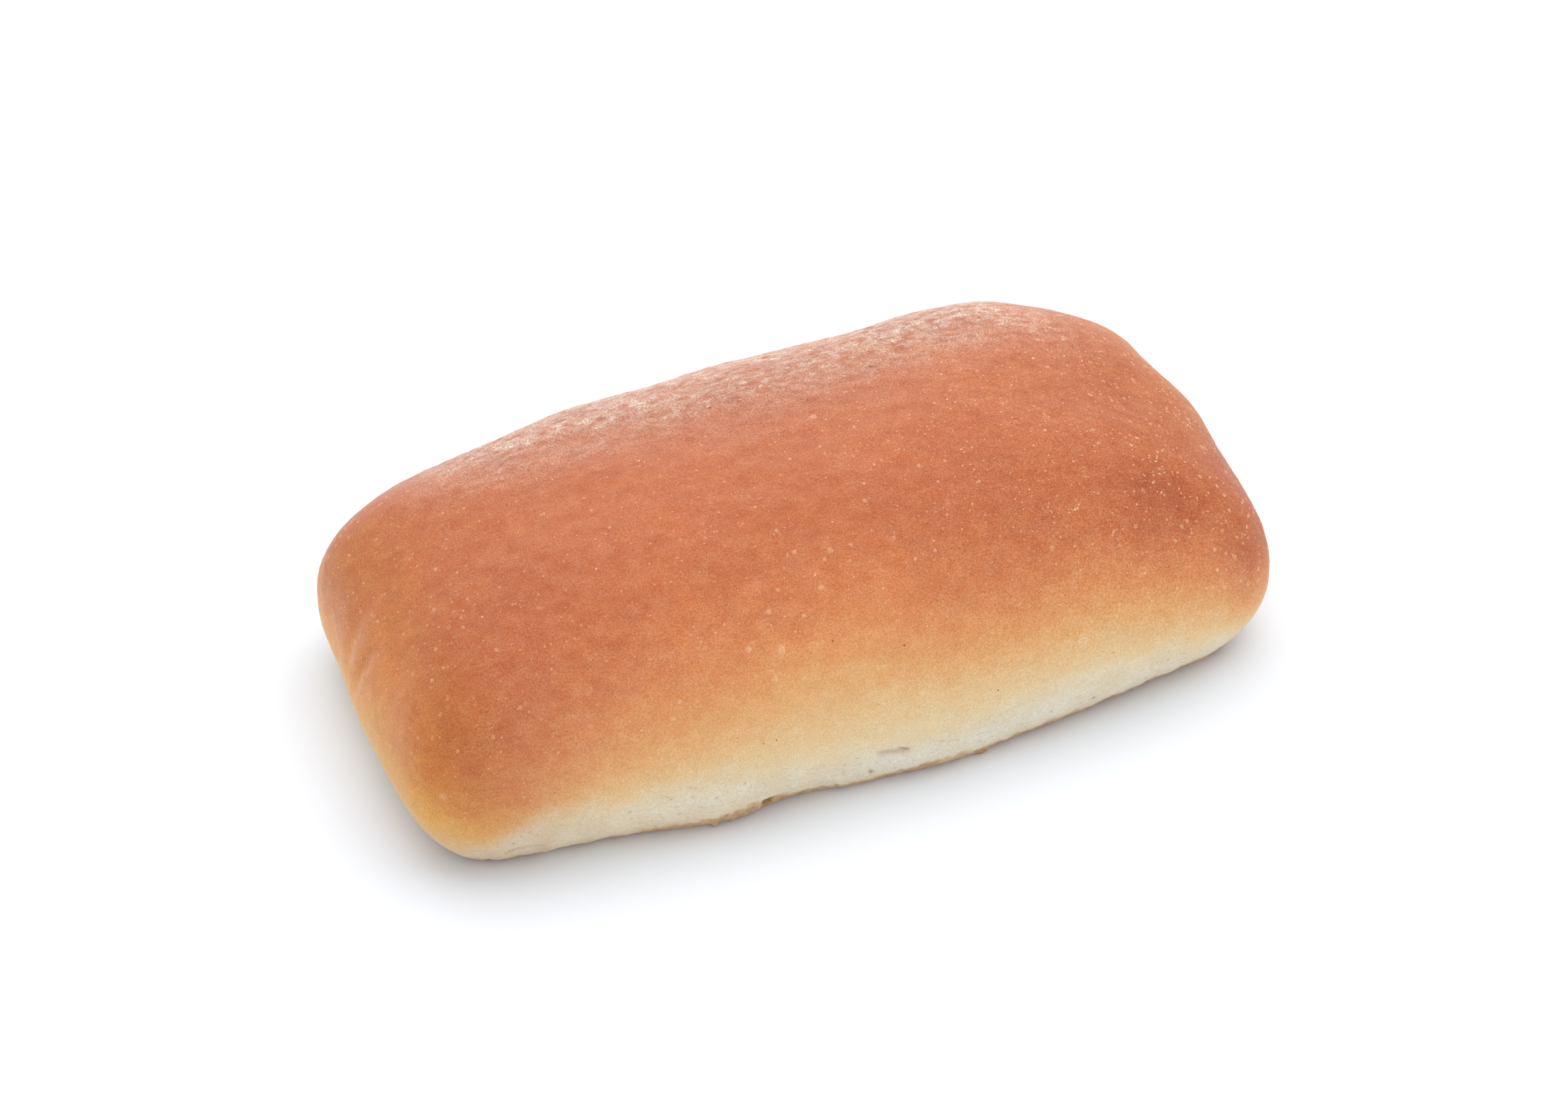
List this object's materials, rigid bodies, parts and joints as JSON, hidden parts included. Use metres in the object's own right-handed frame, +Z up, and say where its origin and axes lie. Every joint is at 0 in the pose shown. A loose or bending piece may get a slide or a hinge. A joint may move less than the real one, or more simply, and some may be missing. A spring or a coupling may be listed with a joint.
{
  "type": "bread roll",
  "caption": "Soft oblong bread roll with a domed brown crust, rounded ends, a flat underside and pale torn sides where it was baked against its neighbours.",
  "frame": {"origin": "middle of the bounding box's bottom face, on the surface that the roll rests on", "axes": "+X along the roll to its fatter end, -Y out of the torn side that shows, +Z up through the crown"},
  "size_m": [0.1508, 0.0778, 0.0451],
  "materials": {
    "crust": "soft satin brown crust, golden towards the foot, with matt cream torn sides"
  },
  "bodies": {
    "root": {"bread_roll": "crust"}
  },
  "joints": []
}
